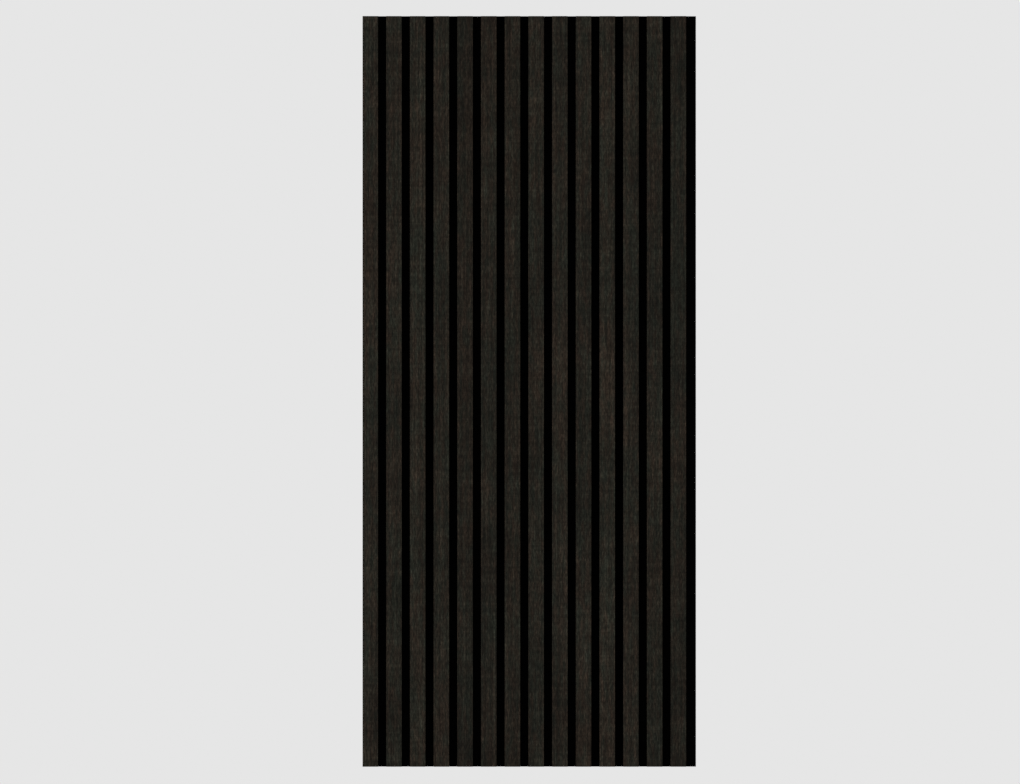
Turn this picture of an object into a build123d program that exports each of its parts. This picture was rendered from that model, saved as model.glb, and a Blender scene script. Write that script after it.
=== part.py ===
"""Slatted acoustic wall panel: veneered slats stapled through a sheet of pressed felt.

Fourteen upright slats stand side by side on one felt sheet. Sound passes between them and is
lost in the felt. Each slat is a strip of black board with a wood veneer pressed on its front,
and it is held by a column of staples, driven from behind through the felt into the board.
The felt is flush with the first slat on the left. On the right it runs on past the last slat
as a bare tongue, which keeps the gap to the first slat of the next panel.

Frame, in millimetres: X runs along the panel's width, to the right as seen from the front.
Y runs from the front into the wall, and Z runs up along the slats. The origin is the centre
of the felt's back face, the face that goes against the wall.
"""

import os

from build123d import *

# The panel and the row of slats
panel_length = 1362.0
slat_count = 14
slat_width = 28.0
slat_gap = 15.0
felt_tongue = 18.0

# Thicknesses, from the wall to the front
felt_thickness = 9.0
core_thickness = 11.4
veneer_thickness = 0.6

# The sanded long edges at the front of each veneer
edge_ease = 0.25

# Fine-wire staples, one column of them behind each slat
staple_crown = 12.8
staple_wire_width = 0.95
staple_wire_thickness = 0.65
staple_sink = 0.3
staple_rows = 6
staple_end_margin = 66.0
point_slant = 1.2
board_in_front_of_points = 4.4

# What follows from the sizes above
slat_pitch = slat_width + slat_gap
slats_across = slat_count * slat_width + (slat_count - 1) * slat_gap
panel_width = slats_across + felt_tongue
left_edge = -panel_width / 2
felt_front = -felt_thickness
core_front = felt_front - core_thickness
veneer_front = core_front - veneer_thickness
staple_points = core_front + board_in_front_of_points
row_spacing = (panel_length - 2 * staple_end_margin) / (staple_rows - 1)

slat_centres = [left_edge + slat_width / 2 + number * slat_pitch for number in range(slat_count)]
row_heights = [-panel_length / 2 + staple_end_margin + row * row_spacing for row in range(staple_rows)]


def upright(profile):
    """A profile in the plane of X and Y, drawn out over the whole length of the panel."""
    return extrude(profile, amount=panel_length / 2, both=True)


def strip_profile(centre, width, back, front):
    """The section of a flat strip: its middle along X, its width, and its back and front in Y."""
    return Pos(centre, (back + front) / 2) * Rectangle(width, back - front)


def staple_profile(crown_back):
    """A staple seen along the slat: the crown lies at the back and both points face the front.

    Each leg ends in a chisel cut, with its point on the outside, so that the legs spread.
    """
    outside = staple_crown / 2
    inside = outside - staple_wire_thickness
    crown_front = -staple_sink - staple_wire_thickness
    return Polygon(
        (-outside, crown_back),
        (outside, crown_back),
        (outside, staple_points),
        (inside, staple_points + point_slant),
        (inside, crown_front),
        (-inside, crown_front),
        (-inside, staple_points + point_slant),
        (-outside, staple_points),
        align=None,
    )


def staple_column(centre, crown_back):
    """The staples behind one slat, as a list of separate solids, one at each row's height."""
    one = extrude(staple_profile(crown_back), amount=staple_wire_width / 2, both=True)
    return [Pos(centre, 0, height) * one for height in row_heights]


def make_felt():
    """The felt sheet, pierced by every staple, with a shallow seat pressed in for its crown."""
    middle = left_edge + panel_width / 2
    sheet = upright(strip_profile(middle, panel_width, 0, felt_front))
    past_the_back = staple_sink
    seats = [seat for centre in slat_centres for seat in staple_column(centre, past_the_back)]
    return sheet - seats


def make_core(centre):
    """One strip of black board, with the narrow holes that its staples' legs have made."""
    strip = upright(strip_profile(centre, slat_width, felt_front, core_front))
    return strip - staple_column(centre, -staple_sink)


def make_veneer(centre):
    """The wood facing of one slat, with its two long front edges eased by sanding."""
    ease = min(edge_ease, veneer_thickness / 2)
    section = strip_profile(centre, slat_width, core_front, veneer_front)
    front_corners = section.vertices().sort_by(Axis.Y)[:2]
    return upright(chamfer(front_corners, length=ease))


def make_staples():
    """All the staples of the panel, as one group of separate solids."""
    return Compound(children=[s for centre in slat_centres for s in staple_column(centre, -staple_sink)])


def write(shape, name):
    """Writes one piece to its own file, named after the piece."""
    shape.label = name
    export_step(shape, f"parts/{name}.step")


os.makedirs("parts", exist_ok=True)
write(make_felt(), "felt_backing")
for number, centre in enumerate(slat_centres, start=1):
    write(make_core(centre), f"slat_core_{number:02d}")
    write(make_veneer(centre), f"slat_veneer_{number:02d}")
write(make_staples(), "staples")
print(f"panel {panel_width:g} x {panel_length:g} x {-veneer_front:g} mm, {slat_count} slats")
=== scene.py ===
# %% [markdown]
# # A slatted acoustic wall panel
#
# The real panel is fourteen upright slats on a sheet of black felt. Each slat is a strip of black
# board with a thin wood veneer on its front, stained a charcoal brown. Staples driven from behind
# hold it to the felt. Sound goes between the slats and is lost in the felt.
#
# Boards and veneers are flat strips with true edges already, so the frame's own pieces stay and
# only get their finish here. Felt is a soft sheet and staples are bent wire, so both are modelled
# anew in the place of their plain solids.
#
# Run the cells from top to bottom. They print what they made or measured.

# %% Load the frame
import math
import random

import bmesh
import bpy
from mathutils import Matrix, Vector, noise


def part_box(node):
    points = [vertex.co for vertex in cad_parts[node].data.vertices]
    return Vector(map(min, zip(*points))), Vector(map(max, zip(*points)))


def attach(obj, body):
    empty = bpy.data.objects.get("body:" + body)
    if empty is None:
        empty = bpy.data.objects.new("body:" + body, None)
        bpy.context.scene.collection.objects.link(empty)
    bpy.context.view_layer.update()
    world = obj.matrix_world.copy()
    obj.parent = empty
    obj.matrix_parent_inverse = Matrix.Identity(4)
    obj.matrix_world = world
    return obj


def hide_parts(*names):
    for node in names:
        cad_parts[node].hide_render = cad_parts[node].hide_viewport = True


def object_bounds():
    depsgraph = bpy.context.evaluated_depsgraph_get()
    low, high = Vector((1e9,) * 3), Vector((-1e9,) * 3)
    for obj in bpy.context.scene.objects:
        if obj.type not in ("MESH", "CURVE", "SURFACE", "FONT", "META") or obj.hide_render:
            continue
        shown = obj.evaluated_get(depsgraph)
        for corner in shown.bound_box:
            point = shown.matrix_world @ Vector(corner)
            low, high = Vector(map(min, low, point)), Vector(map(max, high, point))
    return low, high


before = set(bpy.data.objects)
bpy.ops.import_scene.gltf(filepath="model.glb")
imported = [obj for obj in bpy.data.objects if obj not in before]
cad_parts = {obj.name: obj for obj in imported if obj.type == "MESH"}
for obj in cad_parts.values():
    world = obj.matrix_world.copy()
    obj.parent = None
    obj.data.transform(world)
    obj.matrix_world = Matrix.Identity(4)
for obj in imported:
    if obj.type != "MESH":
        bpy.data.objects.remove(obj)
cad_low, cad_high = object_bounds()
print("frame box in metres:", [round(v, 4) for v in (*cad_low, *cad_high)])

# %% [markdown]
# ## Sizes
#
# Everything below takes its place from the frame, so nothing has to be fitted by eye. X runs along
# the panel's width, Y runs from the front into the wall, and Z runs up along the slats. Blender
# works in metres here, and `MM` lets small sizes be written in millimetres.

# %% Read the sizes of slats and felt
MM = 0.001

veneers = sorted(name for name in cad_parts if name.startswith("slat_veneer"))
boards = sorted(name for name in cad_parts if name.startswith("slat_core"))
felt_low, felt_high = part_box("felt_backing")
first_low, first_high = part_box(veneers[0])
slat_width = first_high.x - first_low.x
slat_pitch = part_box(veneers[1])[0].x - first_low.x
first_centre = first_low.x + slat_width / 2
slat_centres = [first_centre + number * slat_pitch for number in range(len(veneers))]
face_y = first_low.y
middle = (cad_low + cad_high) / 2
print(f"{len(veneers)} slats, {slat_width / MM:.1f} mm wide, pitch {slat_pitch / MM:.1f} mm")

# %% [markdown]
# ## Camera
#
# The photograph looks at the panel square from the front. It shows no flank of any slat, and felt
# and slats end at one height in it, though the slats stand nearer. An orthographic camera would
# draw it so. A very long lens from far away does too, and it is still a real lens when the camera
# is carried round to the sides, so that was chosen. The pitch of the slats gives the photograph's
# scale, and the panel's right edge and middle height give the camera's place. It looks straight
# ahead, with no tilt and no shift of the lens.

# %% Stand the camera in front of the panel
PHOTO_WIDTH = 1020
PHOTO_HEIGHT = 784
PITCH_PX = 23.70
RIGHT_EDGE_PX = 696.0
MIDDLE_HEIGHT_PX = 391.4
LENS_MM = 600.0
FARTHEST_SEEN = 100.0

metres_per_px = slat_pitch / PITCH_PX
camera_data = bpy.data.cameras.new("camera")
camera_data.lens = LENS_MM
camera_data.clip_end = FARTHEST_SEEN
distance = PHOTO_WIDTH * metres_per_px * LENS_MM / camera_data.sensor_width

camera = bpy.data.objects.new("camera", camera_data)
camera.location = (
    cad_high.x - (RIGHT_EDGE_PX - PHOTO_WIDTH / 2) * metres_per_px,
    face_y - distance,
    middle.z - (PHOTO_HEIGHT / 2 - MIDDLE_HEIGHT_PX) * metres_per_px,
)
camera.rotation_euler = (math.radians(90), 0, 0)
bpy.context.scene.collection.objects.link(camera)
bpy.context.scene.camera = camera
bpy.context.scene.view_settings.view_transform = "Standard"
print(f"camera {distance:.2f} m in front of the slats, {metres_per_px / MM:.4f} mm to a pixel")

# %% [markdown]
# ## Shader maths as Python
#
# A material is a graph of small nodes. Made one by one in a script they are long to read, and what
# they work out together gets lost. So this class wraps one socket and lets sums be written as
# sums: `1 - mask` adds a Math node and gives back its output. Everything that isn't plain maths
# comes from the one method `node`.

# %% A socket that can be reckoned with
class Signal:
    """One output socket of a node tree. Plain sums on it add Math nodes."""

    def __init__(self, tree, socket=None):
        self.tree = tree
        self.socket = socket

    def node(self, kind, settings=None, inputs=None, out=0):
        """Adds a node, sets its settings and then its inputs, and returns one of its outputs."""
        made = self.tree.nodes.new(kind)
        for name, value in (settings or {}).items():
            setattr(made, name, value)
        for name, value in (inputs or {}).items():
            if isinstance(value, Signal):
                self.tree.links.new(value.socket, made.inputs[name])
            else:
                made.inputs[name].default_value = value
        return Signal(self.tree, made.outputs[out]) if made.outputs else None

    def maths(self, operation, *terms):
        return self.node("ShaderNodeMath", {"operation": operation}, dict(enumerate(terms)))

    def __add__(self, other):
        return self.maths("ADD", self, other)

    def __sub__(self, other):
        return self.maths("SUBTRACT", self, other)

    def __rsub__(self, other):
        return self.maths("SUBTRACT", other, self)

    def __mul__(self, other):
        return self.maths("MULTIPLY", self, other)

    def __truediv__(self, other):
        return self.maths("DIVIDE", self, other)

    def __rtruediv__(self, other):
        return self.maths("DIVIDE", other, self)

    __radd__ = __add__
    __rmul__ = __mul__


# %% [markdown]
# A Math node would turn a colour grey, so colours and vectors have helpers of their own, which use
# the Vector Math and Mix nodes. Sockets are counted from 0, and so are the three parts of a vector.
# A Mix node has sockets for numbers, vectors and colours in one row, and those for colours stand
# far along it.

# %% Sums with vectors and colours
X, Y, Z = 0, 1, 2
COLOUR_A, COLOUR_B = 6, 7
MIXED_COLOUR = 2


def times(vector, factors):
    """A vector or colour with each of its three numbers multiplied."""
    return vector.node("ShaderNodeVectorMath", {"operation": "MULTIPLY"}, {0: vector, 1: factors})


def plus(vector, other):
    """Two vectors added up."""
    return vector.node("ShaderNodeVectorMath", {"operation": "ADD"}, {0: vector, 1: other})


def strength(colour, factor):
    """A colour made lighter or darker as a whole."""
    inputs = {0: colour, "Scale": factor}
    return colour.node("ShaderNodeVectorMath", {"operation": "SCALE"}, inputs)


def blended(share, first, second):
    """A colour between two others."""
    inputs = {0: share, COLOUR_A: first, COLOUR_B: second}
    return share.node("ShaderNodeMix", {"data_type": "RGBA"}, inputs, out=MIXED_COLOUR)


def part_of(vector, axis):
    """The X, Y or Z of a vector."""
    return vector.node("ShaderNodeSeparateXYZ", None, {"Vector": vector}, out=axis)


# %% [markdown]
# Every finish here is made of two patterns. The first is noise on stretched coordinates: many
# waves to the metre along X with few along Z give thin upright streaks, and equal numbers give
# round spots. The second is a soft step, which turns noise into patches with an edge.

# %% Patterns that the finishes share
def cloud(where, per_metre, detail=2.0, roughness=0.5):
    """Smooth noise, mostly from -1 to 1, with so many waves in a metre along X, Y and Z."""
    at = times(where, per_metre)
    settings = {"Scale": 1.0, "Detail": detail, "Roughness": roughness, "Vector": at}
    return (where.node("ShaderNodeTexNoise", None, settings) - 0.5) * 4.0


def step(value, low, high):
    """0 below low, 1 above high, and a soft slope between."""
    ends = {"Value": value, "From Min": low, "From Max": high}
    return value.node("ShaderNodeMapRange", {"interpolation_type": "SMOOTHSTEP"}, ends)


# %% [markdown]
# All finishes begin and end alike. What changes over a surface is linked to the shader. What is the
# same everywhere is typed into the shader's own socket.

# %% Begin and end a finish
def new_finish(name):
    """An empty material, and a Signal that adds nodes to it."""
    material = bpy.data.materials.new(name)
    material.use_nodes = True
    material.node_tree.nodes.clear()
    return material, Signal(material.node_tree)


def end_finish(start, changing, fixed):
    """Links what changes over the surface to the shader, and sets the rest on its sockets."""
    shader = start.node("ShaderNodeBsdfPrincipled", None, {**fixed, **changing})
    start.node("ShaderNodeOutputMaterial", None, {"Surface": shader})


def relief(start, height, depth, share):
    """A bump. A height of 1 stands for depth metres, and share is how much of it shows."""
    inputs = {"Strength": share, "Distance": depth, "Height": height}
    return start.node("ShaderNodeBump", None, inputs)


# %% [markdown]
# ## Studio
#
# The background of the photograph is one even pale grey. A painted backdrop would need lamps of
# its own to look so even, so the world does it: it shows that grey to the camera, in reflections
# and through glass, and gives the panel a softer light of its own.

# %% Make the world
BACKGROUND_GREY = (0.791, 0.791, 0.791, 1)
SKY_WHITE = (1, 1, 1, 1)
SKY_LIGHT = 0.42

world = bpy.data.worlds.new("studio")
world.use_nodes = True
world.node_tree.nodes.clear()
sky = Signal(world.node_tree)
seen = sky.node("ShaderNodeLightPath", out="Is Camera Ray")
mirrored = sky.node("ShaderNodeLightPath", out="Is Glossy Ray")
through = sky.node("ShaderNodeLightPath", out="Is Transmission Ray")
shown = seen.maths("MAXIMUM", seen.maths("MAXIMUM", seen, mirrored), through)
backdrop = sky.node("ShaderNodeBackground", None, {"Color": BACKGROUND_GREY, "Strength": 1.0})
glow = sky.node("ShaderNodeBackground", None, {"Color": SKY_WHITE, "Strength": SKY_LIGHT})
both = sky.node("ShaderNodeMixShader", None, {0: shown, 1: glow, 2: backdrop})
sky.node("ShaderNodeOutputWorld", None, {"Surface": both})
bpy.context.scene.world = world
print(f"world: background {BACKGROUND_GREY[0]}, light {SKY_LIGHT}")

# %% [markdown]
# Two tall softboxes stand well to the sides. They light the faces of the slats evenly and hardly
# reach into the gaps, which a lamp beside the camera would do. A third one lights the back.
#
# A lamp's watts say little about how bright it makes a thing. Here each lamp gets a share instead:
# at a share of 1 it would show a face that is square to the camera in the very colour of its
# material. A flat lamp spreads its light over half a sphere, and so does the face that it lights,
# and each of the two divides the light by pi. It also thins with the square of the distance and
# with the slant at which it arrives. So the share is multiplied by all of these to give the watts,
# and the shares of the lamps and of the world's light can simply be added up.

# %% Hang the softboxes
def softbox(name, place, width, height, share):
    """A rectangular lamp aimed at the panel, which gives the side it lights this share."""
    lamp = bpy.data.lights.new(name, "AREA")
    lamp.shape = "RECTANGLE"
    lamp.size = width
    lamp.size_y = height
    towards = middle - Vector(place)
    slant = abs(towards.normalized().y)
    lamp.energy = share * math.pi**2 * towards.length_squared / slant
    stand = bpy.data.objects.new(name, lamp)
    stand.location = place
    stand.rotation_euler = towards.to_track_quat("-Z", "Y").to_euler()
    bpy.context.scene.collection.objects.link(stand)
    print(f"{name}: {lamp.energy:.0f} W at {towards.length:.1f} m")


softbox("key_left", place=(-3.6, -2.5, 1.0), width=1.6, height=3.0, share=0.34)
softbox("fill_right", place=(3.8, -2.4, 0.4), width=1.6, height=3.0, share=0.18)
softbox("behind", place=(2.4, 3.4, 1.6), width=2.0, height=2.5, share=0.40)

# %% [markdown]
# Shapes are made as a bmesh, a mesh that operators can work on and that nobody sees yet. When it
# is done it is written into a mesh, and an object shows that mesh in the scene. The objects stay
# at the origin, because every point already lies in its place in the frame.

# %% Turn a bmesh into an object
def shown_object(name, shape):
    """An object in the scene with the bmesh's shape. The bmesh is freed."""
    mesh = bpy.data.meshes.new(name)
    shape.to_mesh(mesh)
    shape.free()
    made = bpy.data.objects.new(name, mesh)
    bpy.context.scene.collection.objects.link(made)
    return made


# %% [markdown]
# The panel hangs on a wall in use, so no floor touches it. A pale floor lies well below it, out of
# the photograph's view, and catches its shadow. A round one that fades out towards its rim shows
# no edge against the background when the camera looks down, as a plain square would.

# %% Lay the floor
FLOOR_DROP = 0.55
FLOOR_RADIUS = 3.0
RIM_SIDES = 96

disc = bmesh.new()
bmesh.ops.create_circle(disc, cap_ends=True, segments=RIM_SIDES, radius=FLOOR_RADIUS)
bmesh.ops.translate(disc, verts=disc.verts, vec=(0, 0, cad_low.z - FLOOR_DROP))
floor = shown_object("floor", disc)
print(f"floor {FLOOR_DROP} m below the panel, {2 * FLOOR_RADIUS} m across")

# %% Paint the floor
FLOOR_GREY = (0.80, 0.80, 0.80, 1)
FADE_START = 0.9
FADE_END = 0.97 * FLOOR_RADIUS

floor_paint, pale = new_finish("pale_floor")
spot = times(pale.node("ShaderNodeTexCoord", out="Object"), (1, 1, 0))
length = {"operation": "LENGTH"}
from_centre = spot.node("ShaderNodeVectorMath", length, {0: spot}, out="Value")
ground = pale.node("ShaderNodeBsdfDiffuse", None, {"Color": FLOOR_GREY})
clear = pale.node("ShaderNodeBsdfTransparent")
fade = step(from_centre, FADE_START, FADE_END)
faded = pale.node("ShaderNodeMixShader", None, {0: fade, 1: ground, 2: clear})
pale.node("ShaderNodeOutputMaterial", None, {"Surface": faded})
floor.data.materials.append(floor_paint)
print(f"floor solid to {FADE_START} m from its centre, gone at {FADE_END:.2f} m")

# %% [markdown]
# ## Veneer
#
# The slat faces are a dark, open-grained wood, stained charcoal brown and left satin. Seen close
# it has fine upright fibres and short dark pores. From a step away, soft blotches show, some warm
# and some greenish, with faint bands across the grain that run on from slat to slat, because the
# veneer was pressed on the whole board before that was sawn into slats.
#
# A picture of wood could be wrapped round the slats, but it would blur close up and repeat from
# slat to slat. Layers of noise stay sharp and never repeat. They are drawn in Object coordinates,
# which all slats share, so a pattern in them runs on from slat to slat by itself. What should
# differ gets a random shift for each slat, from white noise on the slat's number.

# %% Give each slat its own luck
SLAT_SEED = 847.5


def slat_luck(where):
    """Three random numbers from 0 to 1 for each slat, as a colour."""
    along_row = (part_of(where, X) - slat_centres[0]) / slat_pitch + 0.5
    number = along_row.maths("FLOOR", along_row)
    settings = {"noise_dimensions": "1D"}
    return where.node("ShaderNodeTexWhiteNoise", settings, {"W": number + SLAT_SEED}, out="Color")


# %% [markdown]
# The tone of the wood is a sum of layers. `leaf` is a place in the slat's own strip of veneer, and
# `where` is a place on the whole panel.
#
# - fibres: hair-thin lines along the wood
# - rings: the growth rings, as lines of a few millimetres that run on for a third of the panel
# - streaks: shorter lines, where the stain went in deeper
# - flecks: short dashes, which are the fine grain seen from a step away
# - bands and cross lines: ripples across the grain, left by the knife that cut the veneer
# - drift and wave: large soft patches where the stain was wiped on more or less
# - own: each slat a little lighter or darker than its neighbours

# %% Draw the grain
def grain_of(leaf):
    """The layers that belong to one slat's wood."""
    fibres = cloud(leaf, (1700, 1700, 26))
    rings = cloud(leaf, (300, 300, 2.2))
    streaks = cloud(leaf, (420, 420, 14))
    flecks = cloud(leaf, (640, 640, 150), detail=1.0)
    return fibres, rings, streaks, flecks


# %% Draw how deep the stain went
STAIN_WAVE = 9 * slat_pitch
STAIN_CREST = slat_centres[1]


def depth_of_stain(where, luck):
    """How much darker or lighter the stain came out over the panel, apart from the grain."""
    bands = cloud(where, (5, 5, 50))
    cross_lines = cloud(where, (7, 7, 330), detail=1.0)
    drift = cloud(where, (24, 24, 7))
    crest = (part_of(where, X) - STAIN_CREST) * (math.tau / STAIN_WAVE)
    wave = crest.maths("COSINE", crest)
    own = part_of(luck, Y) - 0.5
    return 0.20 * bands + 0.15 * cross_lines + 0.28 * drift + 0.08 * wave + 0.30 * own


print(f"stain wave {STAIN_WAVE / MM:.0f} mm long, palest at X {STAIN_CREST / MM:.1f} mm")

# %% [markdown]
# The stain reached the front, but hardly the thin sides and ends that the saw left, so these show
# browner wood. The long edges were eased with sandpaper, and hands and gloves rub them in use, so
# they are a little paler here and there. A material can't know edges, but it can know which way a
# face looks: the Normal output of Texture Coordinate holds that in the object's own axes. The
# eased edges of the mesh are narrow slopes, which look half to the front and half to the side.

# %% Tell sawn faces and eased edges from the front
def facing(start, axis):
    """1 where a face looks up this axis, -1 where it looks down it, 0 where it looks across."""
    return part_of(start.node("ShaderNodeTexCoord", out="Normal"), axis)


def turned_along(start, axis):
    """1 on the faces that look along this axis, either way, and 0 on those that look across."""
    way = facing(start, axis)
    return way.maths("ABSOLUTE", way)


def cut_across(start, axis):
    """1 on the faces that look along this axis, either way, and 0 on all others."""
    return step(turned_along(start, axis), 0.85, 0.95)


def eased(start, axis):
    """1 on the slopes halfway between this axis and the front, and 0 on all others."""
    return step(turned_along(start, axis), 0.40, 0.60) - cut_across(start, axis)


# %% [markdown]
# The layers are summed and go through an exponential. That keeps the tone above zero and makes
# light flecks stand out more than dark ones, as in the photograph. The tone multiplies a stain
# that lies between a warm and a cool charcoal, and the pores are nearly black and a little sunk.

# %% Mix the stain
WARM_STAIN = (0.0172, 0.0120, 0.0083, 1)
COOL_STAIN = (0.0117, 0.0127, 0.0092, 1)


def stained(where, leaf, depth):
    """The colour of the stained wood, where depth is the sum of the layers."""
    tone = depth.maths("EXPONENT", depth)
    tint = 0.60 * cloud(leaf, (170, 170, 40)) + 0.40 * cloud(where, (20, 20, 5))
    return strength(blended(step(tint, -0.75, 0.75), COOL_STAIN, WARM_STAIN), tone)


# %% Paint the veneer
PORE_FILL = (0.0040, 0.0036, 0.0030, 1)
SAWN_WOOD = (0.0270, 0.0165, 0.0095, 1)
RUBBED_WOOD = (0.0420, 0.0300, 0.0210, 1)
LEAF_SHIFT = (0.6, 0.0, 9.0)


def charcoal_veneer():
    material, start = new_finish("charcoal_veneer")
    where = start.node("ShaderNodeTexCoord", out="Object")
    luck = slat_luck(where)
    leaf = plus(where, times(luck, LEAF_SHIFT))
    fibres, rings, streaks, flecks = grain_of(leaf)
    grain = 0.16 * fibres + 0.32 * rings + 0.32 * streaks + 0.67 * flecks
    stain = stained(where, leaf, grain + depth_of_stain(where, luck))

    pores = step(cloud(leaf, (2600, 2600, 120), detail=1.0), 0.30, 0.60)
    filled = blended(pores * 0.55, stain, PORE_FILL)
    rubbed = eased(start, X) * step(cloud(where, (90, 90, 24)), -0.6, 0.9)
    front = blended(rubbed * 0.6, filled, RUBBED_WOOD)
    sawn = blended(step(fibres + streaks, -1.2, 1.2), PORE_FILL, SAWN_WOOD)
    sides = cut_across(start, X)
    ends = cut_across(start, Z)
    height = 0.4 * fibres + 0.25 * streaks + 0.3 * flecks - 1.0 * pores
    changing = {
        "Base Color": blended(sides.maths("MAXIMUM", sides, ends), front, sawn),
        "Roughness": 0.50 + 0.06 * streaks + 0.14 * pores,
        "Normal": relief(start, height, 0.06 * MM, 0.5),
    }
    end_finish(start, changing, {"Specular IOR Level": 0.05})
    return material


veneer_finish = charcoal_veneer()
for name in veneers:
    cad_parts[name].material_slots[0].material = veneer_finish
print(f"charcoal veneer: {len(veneer_finish.node_tree.nodes)} nodes, on {len(veneers)} slats")

# %% [markdown]
# ## Board
#
# Behind each veneer is a strip of black fibreboard. Its flanks are sawn and hardly reflect. Saw
# and sander leave faint lines along the strip, and the cut ends are a little paler and rougher,
# most of all in the middle of the thickness, where such board is less dense. Flanks and ends could
# have a finish each, but the frame's pieces have a single material slot. One finish that asks each
# face which way it looks, as the veneer's does, fits in it.

# %% Paint the board
FLANK_DARK = (0.0030, 0.0029, 0.0028, 1)
FLANK_PALE = (0.0056, 0.0053, 0.0050, 1)
END_DARK = (0.0036, 0.0033, 0.0030, 1)
END_PALE = (0.0170, 0.0155, 0.0138, 1)

board_low, board_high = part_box(boards[0])


def black_board():
    material, start = new_finish("black_board")
    where = start.node("ShaderNodeTexCoord", out="Object")
    grains = cloud(where, (900, 900, 900), detail=3.0, roughness=0.65)
    lines = cloud(where, (1400, 1400, 10))
    flank = blended(step(0.6 * lines + 0.5 * grains, -1, 1), FLANK_DARK, FLANK_PALE)

    chips = cloud(where, (380, 620, 380), detail=3.0, roughness=0.7)
    into = (part_of(where, Y) - board_low.y) / (board_high.y - board_low.y)
    looseness = 4 * into * (1 - into)  # 1 in the middle of the thickness, 0 at both faces
    chipped = blended(step(chips, -0.9, 0.9), END_DARK, END_PALE)
    end = strength(chipped, 0.55 + 0.55 * looseness)
    height = 0.5 * grains + 0.4 * lines + 0.5 * looseness * chips
    changing = {
        "Base Color": blended(cut_across(start, Z), flank, end),
        "Roughness": 0.72 + 0.06 * grains,
        "Normal": relief(start, height, 0.15 * MM, 0.5),
    }
    end_finish(start, changing, {"Specular IOR Level": 0.1})
    return material


board_finish = black_board()
for name in boards:
    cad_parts[name].material_slots[0].material = board_finish
print(f"black board: {len(board_finish.node_tree.nodes)} nodes, on {len(boards)} slats")

# %% [markdown]
# ## Felt
#
# The felt is a 9 mm sheet of needled black fibres: soft, matt and slightly lumpy. It dips where a
# staple pulls it in, swells a little in the gaps between the slats, and its cut edges are rounded
# and not quite straight.
#
# A cloth simulation is for thin cloth that falls, and this thick sheet is glued flat, so its small
# forms are modelled directly. They start from the places of the staples, which the frame gives.

# %% Find the staples
STAPLE_CROWN = 12.8 * MM
WIRE_WIDTH = 0.95 * MM
WIRE_THICKNESS = 0.65 * MM
STAPLE_ROWS = 6

staples_low, staples_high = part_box("staples")
row_spacing = (staples_high.z - staples_low.z - WIRE_WIDTH) / (STAPLE_ROWS - 1)
row_heights = [staples_low.z + WIRE_WIDTH / 2 + row_spacing * row for row in range(STAPLE_ROWS)]
print(f"{len(slat_centres) * STAPLE_ROWS} staples, in rows {row_spacing / MM:.0f} mm apart")

# %% [markdown]
# An even grid that is fine enough for the dips would have over a million faces. So the grid's
# lines are drawn together near the staples and stand far apart elsewhere.

# %% Draw the grid's lines together at the staples
BESIDE_CROWN = 2.5 * MM
ABOVE_CROWN = 3.6 * MM


def nearest(value, others):
    """The distance from a value to the closest of the others."""
    return min(abs(value - other) for other in others)


def grid_lines(low, high, busy, reach, fine, coarse):
    """Places from low to high, fine apart within reach of a busy one and coarse elsewhere."""
    bounds = sorted([low, high, *(place + side * reach for place in busy for side in (-1, 1))])
    places = [low]
    for start, end in zip(bounds, bounds[1:]):
        near = nearest((start + end) / 2, busy) < reach
        count = max(1, round((end - start) / (fine if near else coarse)))
        places += [start + (end - start) * part / count for part in range(1, count + 1)]
    return places


past_crown = STAPLE_CROWN / 2 + BESIDE_CROWN
columns = grid_lines(
    felt_low.x, felt_high.x, slat_centres, reach=past_crown, fine=1.7 * MM, coarse=4 * MM
)
rows = grid_lines(
    felt_low.z, felt_high.z, row_heights, reach=ABOVE_CROWN, fine=0.6 * MM, coarse=12 * MM
)
print(f"felt grid: {len(columns)} by {len(rows)} lines")

# %% [markdown]
# The grid starts as an even one, and each of its points is moved to where its column and row
# should be. Extruding it through the felt's thickness gives a closed sheet in one step.

# %% Build the sheet
felt_thickness = felt_high.y - felt_low.y

felt = bmesh.new()
bmesh.ops.create_grid(felt, x_segments=len(columns) - 1, y_segments=len(rows) - 1, size=0.5)
for vert in felt.verts:
    column = round((vert.co.x + 0.5) * (len(columns) - 1))
    row = round((vert.co.y + 0.5) * (len(rows) - 1))
    vert.co = (columns[column], felt_high.y, rows[row])
pushed = bmesh.ops.extrude_face_region(felt, geom=felt.faces[:])["geom"]
front_points = [item for item in pushed if isinstance(item, bmesh.types.BMVert)]
bmesh.ops.translate(felt, verts=front_points, vec=(0, -felt_thickness, 0))
bmesh.ops.recalc_face_normals(felt, faces=felt.faces[:])
print(f"felt: a closed sheet of {len(felt.faces)} faces, {felt_thickness / MM:.0f} mm thick")

# %% [markdown]
# The sheet's walls are cut into layers so that noise can move them, and its rim is bevelled, as a
# knife presses soft felt round. The walls are found by their edges, which run through the
# thickness, and the rim by its edges, where two faces meet at a steep angle.

# %% Cut its walls and round its rim
RIM_ROUNDING = 0.6 * MM
RIM_STEPS = 3
RIM_ANGLE = math.radians(60)
WALL_CUTS = 4

walls = [
    edge
    for edge in felt.edges
    if abs(edge.verts[0].co.y - edge.verts[1].co.y) > felt_thickness / 2
]
bmesh.ops.subdivide_edges(felt, edges=walls, cuts=WALL_CUTS, use_grid_fill=True)
rims = [edge for edge in felt.edges if edge.calc_face_angle(0) > RIM_ANGLE]
bmesh.ops.bevel(
    felt,
    geom=rims,
    offset=RIM_ROUNDING,
    segments=RIM_STEPS,
    profile=0.5,
    affect="EDGES",
    material=-1,
)
print(f"felt: {len(felt.verts)} points, {len(felt.faces)} faces")

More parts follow.
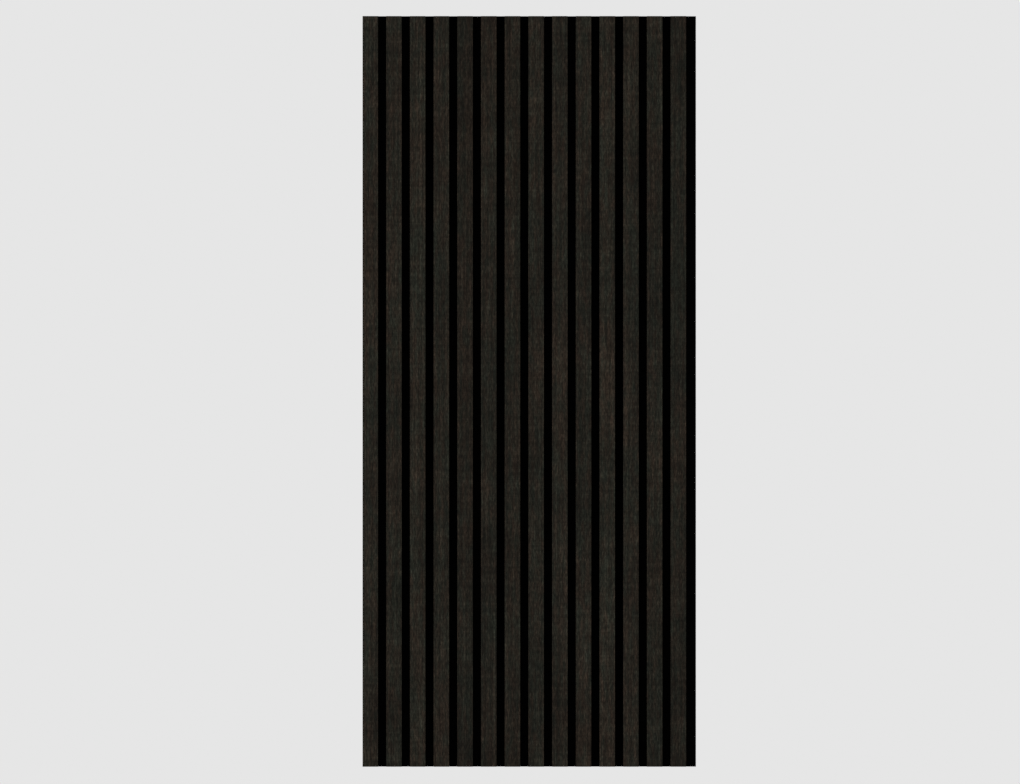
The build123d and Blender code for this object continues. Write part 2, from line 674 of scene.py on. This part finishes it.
# %% [markdown]
# The dips follow the crown of each staple. The wire lies in a narrow crease, nearly flush with the
# felt on both sides of it, and round the crease lies a wide, shallow hollow. Between two slats
# nothing presses on the felt, so its front swells there.

# %% Work out the dips and swells
HOLLOW_DEPTH = 0.25 * MM
HOLLOW_REACH = 6.0 * MM
CREASE_DEPTH = 0.45 * MM
CREASE_REACH = 0.9 * MM
SWELL = 0.3 * MM


def smooth(share):
    """A soft rise from 0 to 1, level at both ends."""
    share = min(max(share, 0.0), 1.0)
    return share * share * (3 - 2 * share)


def dip(across, up):
    """How far a staple near this place pulls the felt's back inwards."""
    beside = max(nearest(across, slat_centres) - STAPLE_CROWN / 2, 0.0)
    away = math.hypot(beside, nearest(up, row_heights))
    hollow = HOLLOW_DEPTH * smooth(1 - away / HOLLOW_REACH)
    crease = CREASE_DEPTH * smooth(1 - away / CREASE_REACH)
    return hollow + crease


def swell(across):
    """0 under a slat, rising to 1 halfway between two slats and on the bare strip."""
    beside = nearest(across, slat_centres) - slat_width / 2
    return smooth(beside / ((slat_pitch - slat_width) / 2))


deepest = dip(slat_centres[0], row_heights[0])
print(f"deepest dip {deepest / MM:.2f} mm, highest swell {SWELL * swell(felt_high.x) / MM:.2f} mm")

# %% [markdown]
# Displace modifiers could make the felt lumpy too. Moving the points in code was chosen because
# the lumps must keep to rules: the back only goes inwards, since it lies on a flat wall, the front
# stays flat where a board is glued to it, and the cut edges only draw in, so the sheet keeps its
# size.

# %% Move the felt's points
SURFACE_LUMPS = ((0.160 * MM, 21 * MM), (0.112 * MM, 6 * MM))
EDGE_LUMPS = ((0.08 * MM, 9 * MM), (0.05 * MM, 2.5 * MM))
TOUCHING = 0.01 * MM


def surface_lump(place):
    """How far a point of the back or front is off its plane, either way."""
    return sum(height * noise.noise(place / size) for height, size in SURFACE_LUMPS)


def edge_lump(place):
    """How far a point of a cut edge draws in."""
    return sum(height * abs(noise.noise(place / size)) for height, size in EDGE_LUMPS)


for vert in felt.verts:
    place = vert.co.copy()
    from_back = felt_high.y - place.y
    if from_back < RIM_ROUNDING / 2:
        vert.co.y -= dip(place.x, place.z) + abs(surface_lump(place))
    elif from_back > felt_thickness - RIM_ROUNDING / 2 and swell(place.x) > 0:
        vert.co.y -= SWELL * swell(place.x) + surface_lump(place)
    for axis in (X, Z):
        if min(place[axis] - felt_low[axis], felt_high[axis] - place[axis]) < TOUCHING:
            vert.co[axis] += math.copysign(edge_lump(place), middle[axis] - place[axis])
print(f"felt volume {felt.calc_volume(signed=True) * 1000:.2f} litres")

# %% Show the sheet
for face in felt.faces:
    face.smooth = True
felt_sheet = shown_object("felt_sheet", felt)
print(f"felt sheet in metres: {[round(side, 4) for side in felt_sheet.dimensions]}")

# %% [markdown]
# Black felt is mostly pure black fibres, with a few that catch the light. Needling leaves it with
# a fine random mat, and with tiny pits where the needles went through. Single fibres could be
# hair, but millions of them would be slow and would be lost in an export. So the mat is drawn as
# thin streaks of noise at four angles, slightly bent, where the lightest one lies on top.
#
# On the cut edges the fibres end. They lie in layers there, which show as fine lines along the
# edge.

# %% Lay the mat of fibres
FIBRE_ANGLES = (14, 61, 102, 151)
BENDS_PER_METRE = 260.0
FIBRE_BEND = 6 * MM
LAYER_BEND = 1 * MM


def bent_place(where, by):
    """The place, shifted to and fro by up to so many metres, which bends the streaks in it."""
    settings = {"Scale": BENDS_PER_METRE, "Detail": 1.0, "Vector": where}
    wander = where.node("ShaderNodeTexNoise", None, settings, out="Color")
    return plus(where, times(wander, (by, by, by)))


def fibre_mat(where):
    """1 along the fibres on top, 0 between them."""
    bent = bent_place(where, FIBRE_BEND)
    mat = -1.0
    for angle in FIBRE_ANGLES:
        turn = {"Vector": bent, "Angle": math.radians(angle)}
        turned = bent.node("ShaderNodeVectorRotate", {"rotation_type": "Y_AXIS"}, turn)
        mat = bent.maths("MAXIMUM", mat, cloud(turned, (1900, 1200, 260)))
    return step(mat, 0.10, 1.25)


def cut_layers(where):
    """1 along the layers of fibres that end at a cut edge, 0 between them."""
    bent = bent_place(where, LAYER_BEND)
    return step(cloud(bent, (150, 2400, 150), detail=3.0), -0.3, 1.3)


# %% [markdown]
# The front of the felt is painted near black, as painted shade for the gaps between the slats, and
# the side that goes to the wall is painted greyer, as a painted sheen. The cut edges lie between
# the two. Two materials would meet in a hard line along the rounded rim. One that asks each point
# which way it looks changes softly.

# %% Paint the felt
SHADE_PAINTED_FACE_BLACK = (0.0007, 0.0007, 0.0008, 1)
SHADE_PAINTED_FACE_FIBRE = (0.0034, 0.0034, 0.0037, 1)
SHEEN_PAINTED_BACK_BLACK = (0.0060, 0.0060, 0.0063, 1)
SHEEN_PAINTED_BACK_FIBRE = (0.0420, 0.0420, 0.0440, 1)


def needled_felt():
    material, start = new_finish("needled_felt")
    where = start.node("ShaderNodeTexCoord", out="Object")
    cut = 1 - step(turned_along(start, Y), 0.3, 0.8)
    strands = fibre_mat(where) * (1 - cut) + cut_layers(where) * cut
    fluff = cloud(where, (420, 420, 420), detail=3.0, roughness=0.7)
    # the pits are sunk by the bump and painted darker in the colour, as painted shade in them
    pits = step(cloud(where, (700, 700, 700), detail=0.0), 0.55, 1.1) * (1 - 0.7 * cut)

    # painted shade on the front and painted sheen on the back: the felt's colour changes with which
    # way it faces
    shade_to_sheen = step(facing(start, Y), -0.6, 0.9)
    black = blended(shade_to_sheen, SHADE_PAINTED_FACE_BLACK, SHEEN_PAINTED_BACK_BLACK)
    fibre = blended(shade_to_sheen, SHADE_PAINTED_FACE_FIBRE, SHEEN_PAINTED_BACK_FIBRE)
    shade = blended(strands * step(fluff, -0.5, 1.0), black, fibre)
    web = 0.30 * cloud(where, (80, 80, 80)) + 0.18 * cloud(where, (16, 16, 16))
    height = 0.8 * strands + 0.5 * fluff - 0.9 * pits
    changing = {
        "Base Color": strength(shade, (1 + web) * (1 - 0.75 * pits)),
        "Roughness": 0.95 - 0.08 * strands,
        "Normal": relief(start, height, 0.2 * MM, 0.7),
    }
    fixed = {"Specular IOR Level": 0.0, "Sheen Weight": 0.02, "Sheen Roughness": 0.5}
    end_finish(start, changing, fixed)
    return material


felt_sheet.data.materials.append(needled_felt())
print(f"needled felt: {len(felt_sheet.active_material.node_tree.nodes)} nodes")

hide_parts("felt_backing")
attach(felt_sheet, "root")

# %% [markdown]
# ## Staples
#
# A staple is flat wire bent twice. A curve with a flat section would make the wire too, but its
# ends could only be cut once it is a mesh. So one small face with cut corners is the wire's
# section, and it goes the way that the wire goes: extruded up one leg, spun through the bend,
# extruded along the crown, spun through the other bend and extruded down the other leg.

# %% Cut the wire's section
WIRE_CORNER = 0.14 * MM
leg_x = (STAPLE_CROWN - WIRE_THICKNESS) / 2


def wire_section(shape):
    """The wire's section as one face, where the left leg has its point."""
    bmesh.ops.create_grid(shape, x_segments=1, y_segments=1, size=0.5)
    bmesh.ops.scale(shape, verts=shape.verts, vec=(WIRE_THICKNESS, WIRE_WIDTH, 1))
    bmesh.ops.bevel(
        shape,
        geom=shape.verts[:],
        offset=WIRE_CORNER,
        segments=1,
        profile=0.5,
        affect="VERTICES",
        material=-1,
    )
    for vert in shape.verts:
        vert.co = (vert.co.x - leg_x, staples_low.y, vert.co.y)
    return shape.faces[:][0]


print(f"wire {WIRE_THICKNESS / MM} by {WIRE_WIDTH / MM} mm, legs {2 * leg_x / MM:.2f} mm apart")

# %% Two steps along the wire
BEND_STEPS = 4


def run_on(shape, ring, way):
    """Extrudes the last face of the wire and moves it on."""
    pushed = bmesh.ops.extrude_face_region(shape, geom=[ring])["geom"]
    face = next(item for item in pushed if isinstance(item, bmesh.types.BMFace))
    bmesh.ops.translate(shape, verts=face.verts[:], vec=way)
    return face


def bend(shape, ring, centre):
    """Spins the last face of the wire through a right angle about the Z axis."""
    swept = bmesh.ops.spin(
        shape,
        geom=[ring, *ring.edges, *ring.verts],
        cent=centre,
        axis=(0, 0, 1),
        angle=-math.radians(90),
        steps=BEND_STEPS,
        use_merge=False,
    )["geom_last"]
    return next(item for item in swept if isinstance(item, bmesh.types.BMFace))


# %% [markdown]
# Each spin leaves a face behind inside the wire. All its edges have three faces or more, and no
# other face is like that, so it can be found and taken out. The points of the legs are slanted to
# chisel points: a point goes back in the more, the nearer it is to the inside of the staple.

# %% Bend one staple
INSIDE_RADIUS = 0.55 * MM
POINT_SLANT = 1.2 * MM


def bent_wire():
    """One staple, with its middle at X 0 and Z 0, at its own depth in the panel."""
    shape = bmesh.new()
    radius = INSIDE_RADIUS + WIRE_THICKNESS / 2
    leg = staples_high.y - WIRE_THICKNESS / 2 - radius - staples_low.y
    bend_y = staples_low.y + leg
    ring = run_on(shape, wire_section(shape), (0, leg, 0))
    ring = bend(shape, ring, (radius - leg_x, bend_y, 0))
    ring = run_on(shape, ring, (2 * (leg_x - radius), 0, 0))
    ring = bend(shape, ring, (leg_x - radius, bend_y, 0))
    run_on(shape, ring, (0, -leg, 0))
    for vert in shape.verts:
        if vert.co.y < staples_low.y + TOUCHING:
            inside = (leg_x + WIRE_THICKNESS / 2 - abs(vert.co.x)) / WIRE_THICKNESS
            vert.co.y += POINT_SLANT * inside
    inner = [face for face in shape.faces if all(len(edge.link_faces) > 2 for edge in face.edges)]
    bmesh.ops.delete(shape, geom=inner, context="FACES_ONLY")
    bmesh.ops.recalc_face_normals(shape, faces=shape.faces[:])
    return shape


one_staple = bent_wire()
wire_volume = one_staple.calc_volume(signed=True) / MM**3
print(f"one staple: {len(one_staple.faces)} faces, {wire_volume:.1f} mm3 of wire")

# %% [markdown]
# An array would set all the staples alike, and no two go in quite alike. Each copy is turned and
# moved a little, by a seeded random number, so that the rows look driven by hand and every run of
# the script gives the same panel. The copies are joined in one mesh, as all the staples are one
# piece in the frame.

# %% Drive all the staples
STAPLE_SEED = 11
TURN_DEGREES = 1.6
STAPLE_SHIFT = 0.2 * MM
STAPLE_RISE = 0.25 * MM

random.seed(STAPLE_SEED)
one_mesh = bpy.data.meshes.new("one_staple")
one_staple.to_mesh(one_mesh)
one_staple.free()

driven = bmesh.new()
for centre in slat_centres:
    for height in row_heights:
        before = len(driven.verts)
        driven.from_mesh(one_mesh)
        driven.verts.ensure_lookup_table()
        added = driven.verts[before:]
        angle = math.radians(random.uniform(-TURN_DEGREES, TURN_DEGREES))
        turned = Matrix.Rotation(angle, 3, "Y")
        bmesh.ops.rotate(driven, verts=added, cent=(0, 0, 0), matrix=turned)
        shift = random.uniform(-STAPLE_SHIFT, STAPLE_SHIFT)
        rise = random.uniform(-STAPLE_RISE, STAPLE_RISE)
        bmesh.ops.translate(driven, verts=added, vec=(centre + shift, 0, height + rise))
bpy.data.meshes.remove(one_mesh)
bent_staples = shown_object("bent_staples", driven)
print(f"staples: {len(bent_staples.data.polygons)} faces")

# %% [markdown]
# The wire is steel with a thin coat of zinc. Metal has no colour but that of what it mirrors, so
# Metallic is 1 and the Base Color tints the reflection. Drawing the wire leaves fine lines along
# it, which are noise stretched along X, the way that the crowns lie. The zinc goes dull in patches,
# which are round noise. These darker patches and lines are partly dull zinc and partly painted
# reflection: they give the metal the contrast that a varied room would mirror in the even grey
# studio.

# %% Paint the staples
ZINC = (0.50, 0.50, 0.49, 1)
DULL_ZINC_AND_PAINTED_REFLECTION = (0.24, 0.245, 0.25, 1)


def zinc_wire():
    material, start = new_finish("zinc_wire")
    where = start.node("ShaderNodeTexCoord", out="Object")
    drawn = cloud(where, (120, 3000, 3000))
    dull_patches_and_painted_reflection = cloud(where, (700, 700, 700), detail=3.0)
    changing = {
        # the darker patches and lines are partly dull zinc and partly painted reflection
        "Base Color": blended(step(0.9 * dull_patches_and_painted_reflection + 0.8 * drawn, -0.6, 1.2), ZINC, DULL_ZINC_AND_PAINTED_REFLECTION),
        "Roughness": 0.36 + 0.08 * dull_patches_and_painted_reflection,
        "Normal": relief(start, drawn, 0.04 * MM, 0.5),
    }
    end_finish(start, changing, {"Metallic": 1.0})
    return material


bent_staples.data.materials.append(zinc_wire())
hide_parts("staples")
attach(bent_staples, "root")
print(f"zinc wire: {len(bent_staples.active_material.node_tree.nodes)} nodes")
